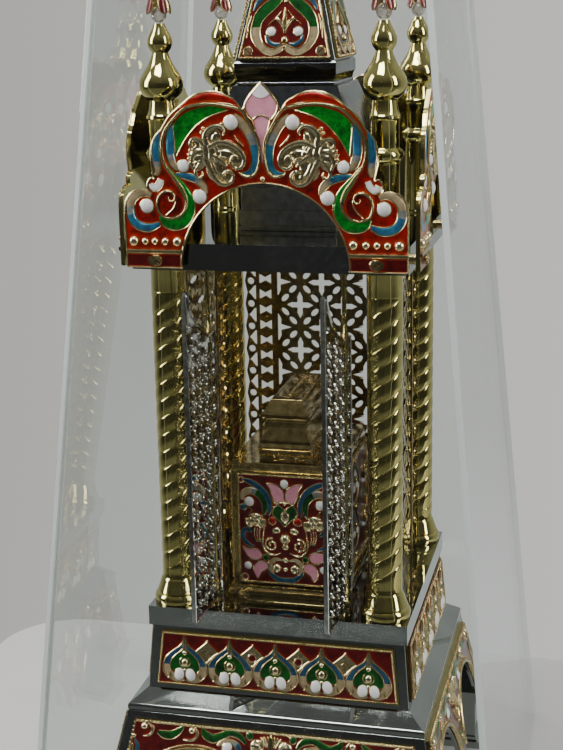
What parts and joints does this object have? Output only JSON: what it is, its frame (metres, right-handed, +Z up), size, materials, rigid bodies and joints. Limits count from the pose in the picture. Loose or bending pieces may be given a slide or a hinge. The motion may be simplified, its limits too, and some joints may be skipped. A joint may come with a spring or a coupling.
{
  "type": "altar tabernacle",
  "caption": "Spired altar tabernacle with twisted columns, openwork doors, an inner ark with a hinged lid and a clear lift-off cover.",
  "frame": {"origin": "centre of the square that the feet and the cover stand on", "axes": "+Z up, -Y to the front where the doors are, +X to the right seen from the front"},
  "size_m": [0.282, 0.282, 0.678],
  "materials": {
    "gilt": "gilded, polished to satin",
    "silver": "silver plated, polished",
    "enamel": "glossy painted enamel on metal",
    "crystal": "clear polished",
    "clear_cover": "clear polished"
  },
  "bodies": {
    "vessel": {"foot_front_left": "silver", "foot_front_right": "silver", "foot_back_right": "silver", "foot_back_left": "silver", "base_skirt": "silver", "base_ledge": "silver", "frieze_tier": "silver", "plinth_slab": "silver", "base_panel_front": "enamel", "base_panel_right": "enamel", "base_panel_back": "enamel", "base_panel_left": "enamel", "frieze_panel_front": "enamel", "frieze_panel_right": "enamel", "frieze_panel_back": "enamel", "frieze_panel_left": "enamel", "column_front_left": "gilt", "column_front_right": "gilt", "column_back_right": "gilt", "column_back_left": "gilt", "lattice_back": "gilt", "lattice_left": "gilt", "lattice_right": "gilt", "pedestal_box": "gilt", "pedestal_panel_front": "enamel", "pedestal_side_panels": "enamel", "ark_body": "gilt", "ark_hinge_pin": "gilt", "canopy_slab": "silver", "gable_front": "enamel", "gable_right": "enamel", "gable_back": "enamel", "gable_left": "enamel", "screws": "gilt", "finial_front_left": "gilt", "finial_front_right": "gilt", "finial_back_right": "gilt", "finial_back_left": "gilt", "finial_crystals": "crystal", "finial_crowns": "enamel", "roof_drum": "silver", "roof_skirt": "silver", "spire_cornice": "silver", "spire_body": "silver", "spire_panel_front": "enamel", "spire_panel_right": "enamel", "spire_panel_back": "enamel", "spire_panel_left": "enamel", "spire_cross": "gilt"},
    "leaf_left": {"door_left": "silver", "door_collars_left": "gilt"},
    "leaf_right": {"door_right": "silver", "door_collars_right": "gilt"},
    "lid": {"ark_lid": "gilt", "ark_lid_cross": "gilt"},
    "cover": {"cover_front": "clear_cover", "cover_right": "clear_cover", "cover_back": "clear_cover", "cover_left": "clear_cover", "cover_top": "clear_cover"}
  },
  "joints": [
    {"name": "door_left", "type": "hinge", "parent": "vessel", "child": "leaf_left", "pos_m": [-0.0405, -0.064, 0.16], "axis": [0, 0, 1], "range_deg": [-27, 93]},
    {"name": "door_right", "type": "hinge", "parent": "vessel", "child": "leaf_right", "pos_m": [0.0405, -0.064, 0.16], "axis": [0, 0, 1], "range_deg": [-84, 36]},
    {"name": "ark_lid", "type": "hinge", "parent": "vessel", "child": "lid", "pos_m": [-0.0176, -0.0085, 0.26935], "axis": [0, -1, 0], "range_deg": [0, 100]},
    {"name": "cover_lift", "type": "slide", "parent": "vessel", "child": "cover", "axis": [0, 0, 1], "range_m": [0, 0.7]}
  ]
}
